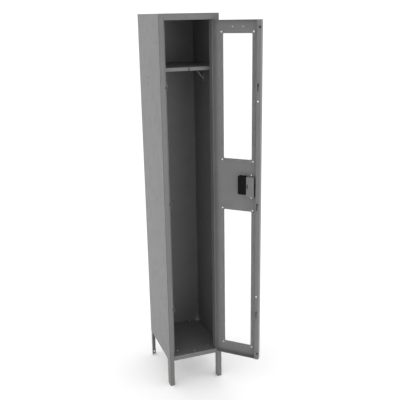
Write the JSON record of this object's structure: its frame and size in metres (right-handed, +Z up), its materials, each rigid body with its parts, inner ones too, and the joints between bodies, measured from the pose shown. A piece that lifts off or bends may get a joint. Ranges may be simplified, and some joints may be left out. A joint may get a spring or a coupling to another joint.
{
  "type": "locker cabinet",
  "caption": "Tall single steel locker on legs with a see-through windowed door, hat shelf, coat hooks and a recessed lift-handle latch.",
  "frame": {"origin": "on the floor, in the middle of the feet's footprint", "axes": "+X to the right along the front, +Y from front to back, +Z up; the door is hinged at the right"},
  "size_m": [0.4556, 0.5823, 1.9812],
  "materials": {
    "painted_steel": "satin",
    "zinc_steel": "zinc plated",
    "black_steel": "black electrocoat",
    "clear_polycarbonate": "clear",
    "aluminium_plate": "satin",
    "black_plastic": "moulded",
    "white_nylon": "moulded",
    "black_rubber": "matt"
  },
  "bodies": {
    "cabinet": {"left_side_panel": "painted_steel", "right_side_panel": "painted_steel", "back_panel": "painted_steel", "top_panel": "painted_steel", "bottom_panel": "painted_steel", "left_upright": "painted_steel", "right_upright": "painted_steel", "top_rail": "painted_steel", "bottom_rail": "painted_steel", "rear_left_leg": "painted_steel", "rear_right_leg": "painted_steel", "hat_shelf": "painted_steel", "coat_hook_left": "zinc_steel", "coat_hook_right": "zinc_steel", "latch_hook_bottom": "painted_steel", "latch_hook_middle": "painted_steel", "latch_hook_top": "painted_steel", "hinge_frame_leaf_bottom": "painted_steel", "hinge_frame_leaf_middle": "painted_steel", "hinge_frame_leaf_top": "painted_steel", "hinge_pin_bottom": "zinc_steel", "hinge_pin_middle": "zinc_steel", "hinge_pin_top": "zinc_steel", "upright_rivets": "painted_steel", "back_rivets": "painted_steel", "shelf_rivets": "painted_steel", "floor_rivets": "aluminium_plate", "coat_hook_rivets": "painted_steel", "latch_hook_rivets": "painted_steel"},
    "door": {"door_panel": "painted_steel", "hinge_door_leaf_bottom": "painted_steel", "hinge_door_leaf_middle": "painted_steel", "hinge_door_leaf_top": "painted_steel", "upper_window": "clear_polycarbonate", "lower_window": "clear_polycarbonate", "window_rivets": "aluminium_plate", "number_plate": "aluminium_plate", "number_plate_rivets": "aluminium_plate", "handle_cup": "black_plastic", "handle_cup_screws": "zinc_steel", "latch_cover": "painted_steel", "latch_cover_rivets": "aluminium_plate", "lock_bar_guides": "white_nylon", "door_bumpers": "black_rubber"},
    "latch": {"lift_handle": "black_plastic", "link_arm": "black_steel", "lock_bar": "black_steel", "link_rivets": "zinc_steel"}
  },
  "joints": [
    {"name": "door_hinge", "type": "hinge", "parent": "cabinet", "child": "door", "pos_m": [0.12515, -0.1937, 1.0644], "axis": [0, 0, 1], "range_deg": [-136, 44]},
    {"name": "latch_lift", "type": "slide", "parent": "door", "child": "latch", "axis": [0, 0, 1], "range_m": [0, 0.014]}
  ]
}
